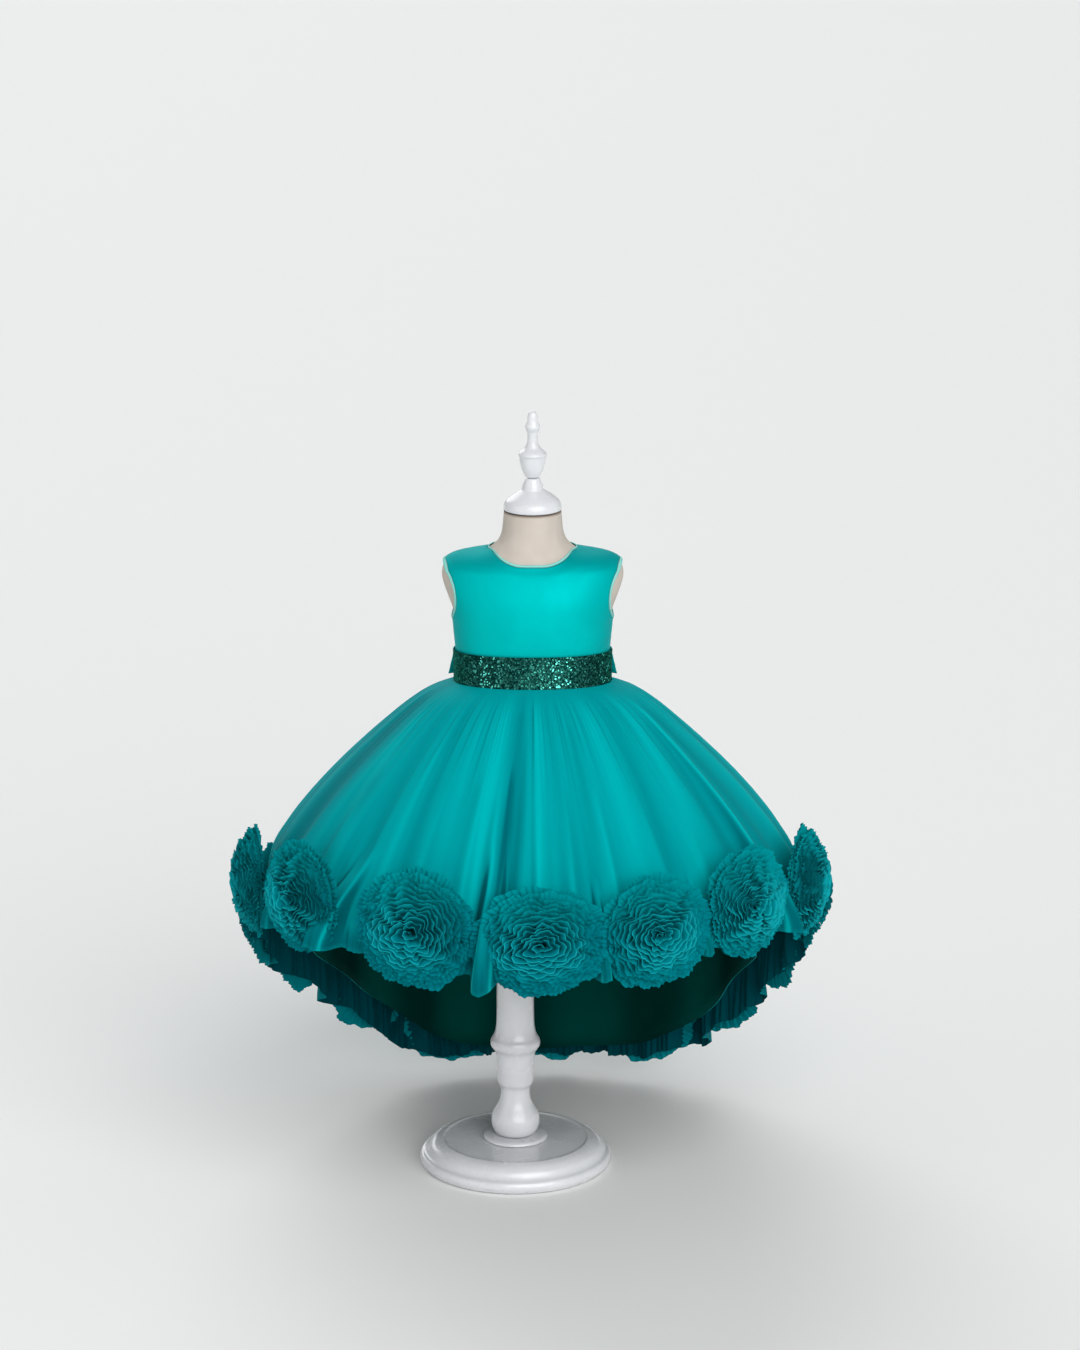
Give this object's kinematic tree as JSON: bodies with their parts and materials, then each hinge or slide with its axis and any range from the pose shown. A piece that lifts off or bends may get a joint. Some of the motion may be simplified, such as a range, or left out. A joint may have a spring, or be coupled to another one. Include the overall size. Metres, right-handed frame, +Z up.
{
  "type": "ball gown on a dress form",
  "caption": "Child's sleeveless high-low ball gown with a sequined belt, back bow and tulle rosettes along its hem, on a limbless dress form with a turned stand.",
  "frame": {"origin": "the middle of the base's underside, on the post's axis, where the stand rests on the floor", "axes": "+Z up, the front of the gown faces -Y, +X is the wearer's left; the gown and form stand 22 mm to +X of the post's axis, as in the picture"},
  "size_m": [0.7545, 0.6895, 0.9694],
  "materials": {
    "satin": "smooth turquoise satin with a soft sheen",
    "tulle": "sheer fine-meshed teal tulle over satin",
    "rosette_tulle": "densely gathered teal tulle ruffles",
    "sequins": "dark green overlapping sequins with mint glints",
    "binding": "pale mint narrow binding",
    "zip_metal": "teal lacquered zip slider and tab",
    "form_cover": "cream cloth stretched over the form",
    "painted_wood": "turned wood under glossy white paint"
  },
  "bodies": {
    "gown_and_stand": {"base_disc": "painted_wood", "base_collar": "painted_wood", "stand_post": "painted_wood", "neck_cap": "painted_wood", "finial": "painted_wood", "form_torso": "form_cover", "bodice_front": "satin", "bodice_back_left": "satin", "bodice_back_right": "satin", "neck_binding": "binding", "armhole_binding_left": "binding", "armhole_binding_right": "binding", "zip_tape": "satin", "zip_slider": "zip_metal", "belt_front": "sequins", "sash_tie_left": "satin", "sash_tie_right": "satin", "bow_knot": "satin", "bow_loop_left": "satin", "bow_loop_right": "satin", "bow_tail_left": "satin", "bow_tail_right": "satin", "satin_skirt_front": "satin", "satin_skirt_back_left": "satin", "satin_skirt_back_right": "satin", "tulle_skirt_front": "tulle", "tulle_skirt_back_left": "tulle", "tulle_skirt_back_right": "tulle", "rosette_01": "rosette_tulle", "rosette_02": "rosette_tulle", "rosette_03": "rosette_tulle", "rosette_04": "rosette_tulle", "rosette_05": "rosette_tulle", "rosette_06": "rosette_tulle", "rosette_07": "rosette_tulle", "rosette_08": "rosette_tulle", "rosette_09": "rosette_tulle", "rosette_10": "rosette_tulle", "rosette_11": "rosette_tulle", "rosette_12": "rosette_tulle", "rosette_13": "rosette_tulle", "rosette_14": "rosette_tulle", "rosette_15": "rosette_tulle", "rosette_16": "rosette_tulle"},
    "pull_tab": {"zip_pull": "zip_metal"}
  },
  "joints": [
    {"name": "pull_tab_hinge", "type": "hinge", "parent": "gown_and_stand", "child": "pull_tab", "pos_m": [0.022, 0.06907, 0.77548], "axis": [1, 0, 0], "range_deg": [0, 150]}
  ]
}
